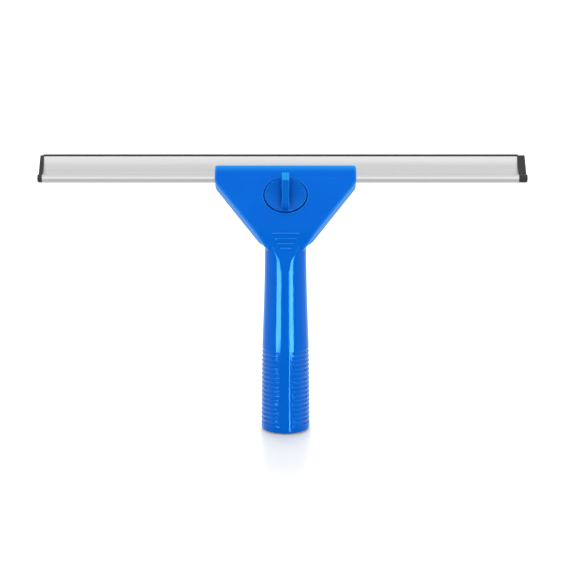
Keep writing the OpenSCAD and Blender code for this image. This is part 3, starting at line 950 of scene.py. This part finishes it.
# Painted highlight on the lip's top edge and on the top facet of the knob's fin.
LIP_HIGHLIGHT_BAND = [(UP, base_up + 3.5 * MM, base_up + (FACE_TOP + 2) * MM)]
FIN_HIGHLIGHT_BAND = [(UP, base_up + (KNOB_Z + 5.6) * MM, base_up + (KNOB_Z + 7.6) * MM),
            (-BACK, -base_back - (KNOB_TOP - 4.0) * MM, -base_back - (KNOB_TOP - 5.5) * MM)]
BLUE = blue_plastic("blue_shell_plastic", srgb(0, 101, 212), srgb(0, 97, 207), LIP_HIGHLIGHT_BAND)
BLUE_KNOB = blue_plastic("blue_knob_plastic", srgb(0, 101, 203), srgb(0, 97, 198), FIN_HIGHLIGHT_BAND)
RUBBER = black_rubber("black_blade_rubber", srgb(18, 18, 19), srgb(30, 30, 31))
STEEL = steel()
CAP = black_plastic()

x_left, x_right = channel_stations()
left_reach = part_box("end_cap_left")[0].x / MM + FOOT_PROUD - x_left
right_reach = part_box("end_cap_right")[1].x / MM - FOOT_PROUD - x_right

handle = make_handle()
fit(handle, BLUE, "handle", "handle_body")
cover = make_cover()
fit(cover, BLUE, "handle", "rear_cover")
cover_screws = make_screws("cover_screw_set", SCREWS, BACK_Y - SCREW_HEAD_T)
fit(cover_screws, STEEL, "handle", "cover_screws")
knob = make_knob()
fit(knob, BLUE_KNOB, "lock_knob", "knob")
knob_screw = make_screws("knob_retaining_screw", [(0, KNOB_Z)], KNOB_SCREW_SEAT)
fit(knob_screw, STEEL, "lock_knob", "knob_screw")
fit(make_channel(), aluminium(), "blade_unit", "channel")
fit(make_rubber(), RUBBER, "blade_unit", "rubber_blade")
left_cap = make_cap("cap_left", "end_cap_left", x_left, left_reach)
fit(left_cap, CAP, "left_cap", "end_cap_left")
right_cap = make_cap("cap_right", "end_cap_right", x_right, right_reach)
fit(right_cap, CAP, "right_cap", "end_cap_right")

for node, material in (("knob_washer", STEEL), ("knob_seal", RUBBER), ("slide_pad", RUBBER),
                       ("locking_slide", white_plastic())):
    dress(frame["nodes"][node], material)


# ---------- stage ----------

STRIP_COLOUR = (1.0, 0.86, 0.84)
RIM_COLOUR = (0.0, 0.9, 1.0)

# The pieces whose gloss shows the soft boxes
BLUE_PIECES = bpy.data.collections.new("blue_pieces")
for piece in (handle, cover, knob):
    BLUE_PIECES.objects.link(piece)


def floor_material():
    """Pale and slightly glossy, glowing more towards the far end where the lamps don't reach."""
    m = Nodes("pale_floor")
    m.set(Emission_Color=(1, 0.97, 0.92, 1), IOR=1.55, Specular_Tint=(0.7, 0.7, 0.7, 1))
    m.feed(Base_Color=m.blend(m.noise(3, 2), srgb(226, 226, 220), srgb(230, 230, 224)),
           Roughness=m.ramp(m.noise(3, 2), 0.3, 0.7, 0.27, 0.3))
    away = m.add("ShaderNodeVectorMath", operation="LENGTH")
    m.link(m.add("ShaderNodeTexCoord").outputs["Object"], away.inputs[0])
    m.feed(Emission_Strength=m.ramp(away.outputs["Value"], 0.3, 2.2, 0.12, 0.3))
    return m.material


def make_floor():
    half, gap = 40.0, 0.0006
    mesh = bpy.data.meshes.new("studio_floor")
    base = cad_bounds[0].z - gap
    mesh.from_pydata([(-half, -half, base), (half, -half, base), (half, half, base), (-half, half, base)],
                     [], [(0, 1, 2, 3)])
    floor = bpy.data.objects.new("studio_floor", mesh)
    bpy.context.scene.collection.objects.link(floor)
    mesh.materials.append(floor_material())
    floor.visible_glossy = False


def area_light(name, place, target, width, height, power, glossy=True, diffuse=True, roll=0.0):
    data = bpy.data.lights.new(name, "AREA")
    data.shape = "RECTANGLE"
    data.size, data.size_y, data.energy = width, height, power
    light = bpy.data.objects.new(name, data)
    bpy.context.scene.collection.objects.link(light)
    light.location = place
    aim = (Vector(target) - Vector(place)).to_track_quat("-Z", "Y")
    light.rotation_euler = (aim @ Quaternion((0, 0, 1), roll)).to_euler()
    light.visible_glossy = glossy
    light.visible_diffuse = diffuse
    light.visible_camera = False
    return light


def strip_light(name, azimuth, width, low, high, power, roll=0.0, colour=STRIP_COLOUR):
    """A soft box seen only in the blue plastic's reflections, at an angle from the camera."""
    distance = 1.3
    a = math.radians(azimuth)
    middle = (low + high) / 2
    place = (distance * math.sin(a), -distance * math.cos(a), middle)
    light = area_light(name, place, (0, 0, middle), width, high - low, power,
                       diffuse=False, roll=math.radians(roll))
    light.data.color = colour
    light.light_linking.receiver_collection = BLUE_PIECES


def brightness(tree, height, steps):
    """A colour that depends on how high a ray points, from -1 straight down to 1 straight up."""
    shade = tree.nodes.new("ShaderNodeValToRGB")
    for _ in steps[2:]:
        shade.color_ramp.elements.new(0.5)
    for element, (place, red, value) in zip(shade.color_ramp.elements, steps):
        element.position = (place + 1) / 2
        element.color = (red, value, value, 1)
    tree.links.new(height, shade.inputs["Fac"])
    return shade.outputs["Color"]


def make_world():
    """White to the camera. Other rays find a softly lit studio, brightest low down at the back."""
    world = bpy.data.worlds.new("studio")
    bpy.context.scene.world = world
    world.use_nodes = True
    tree = world.node_tree
    background = tree.nodes["Background"]
    where = tree.nodes.new("ShaderNodeTexCoord")
    split = tree.nodes.new("ShaderNodeSeparateXYZ")
    tree.links.new(where.outputs["Generated"], split.inputs["Vector"])
    height = tree.nodes.new("ShaderNodeMapRange")
    height.inputs["From Min"].default_value = -1.0
    tree.links.new(split.outputs["Z"], height.inputs["Value"])
    depth = tree.nodes.new("ShaderNodeMapRange")
    depth.interpolation_type = "SMOOTHSTEP"
    depth.inputs["From Min"].default_value = -0.1
    depth.inputs["From Max"].default_value = 0.5
    tree.links.new(split.outputs["Y"], depth.inputs["Value"])
    front = brightness(tree, height.outputs["Result"],
                       ((-1.0, 0.5, 0.5), (-0.3, 0.6, 0.6), (0.05, 1.0, 1.0), (0.5, 1.05, 1.05),
                        (0.85, 0.76, 0.76), (1.0, 0.72, 0.72)))
    back = brightness(tree, height.outputs["Result"],
                      ((-1.0, 1.0, 1.0), (-0.5, 0.75, 0.75), (-0.1, 0.75, 0.75), (0.1, 0.9, 0.9),
                       (0.35, 1.35, 1.35), (0.65, 1.0, 1.0), (0.9, 0.78, 0.78), (1.0, 0.72, 0.72)))
    path = tree.nodes.new("ShaderNodeLightPath")
    gloss = colour_mix(tree, depth.outputs["Result"], front, back)
    seen = colour_mix(tree, path.outputs["Is Camera Ray"], gloss, (1.25, 1.25, 1.25, 1.0))
    tree.links.new(seen, background.inputs["Color"])


def make_camera():
    """A long lens that looks down a little, from a little above the knob."""
    pitch, distance, aim = math.radians(12.5), 1.2, Vector((-0.0004, 0, 0.1044))
    data = bpy.data.cameras.new("camera")
    data.lens, data.sensor_width = 107.5, 36
    camera = bpy.data.objects.new("camera", data)
    bpy.context.scene.collection.objects.link(camera)
    camera.location = aim + distance * Vector((0, -math.cos(pitch), math.sin(pitch)))
    camera.rotation_euler = (math.pi / 2 - pitch, 0, 0)
    bpy.context.scene.camera = camera


make_floor()
make_world()
make_camera()
strip_light("strip_left", -36, 0.56, -0.2, 0.1, 23, roll=5.5)
strip_light("strip_right", 29.5, 0.52, -0.22, 0.1, 25, roll=-4.5)
strip_light("strip_right_edge", 19.5, 0.07, -0.6, -0.2, 4.6)
strip_light("rim_behind", 180, 3.4, -0.8, 0.1, 5.0, colour=RIM_COLOUR)
area_light("top_soft", (0, -0.1, 1.6), (0, 0, 0.1), 1.6, 1.2, 5, glossy=False)
area_light("top_behind", (0, 0.95, 1.3), (0, 0, 0.15), 1.4, 0.5, 17, glossy=False)
bpy.context.scene.view_settings.view_transform = "Standard"
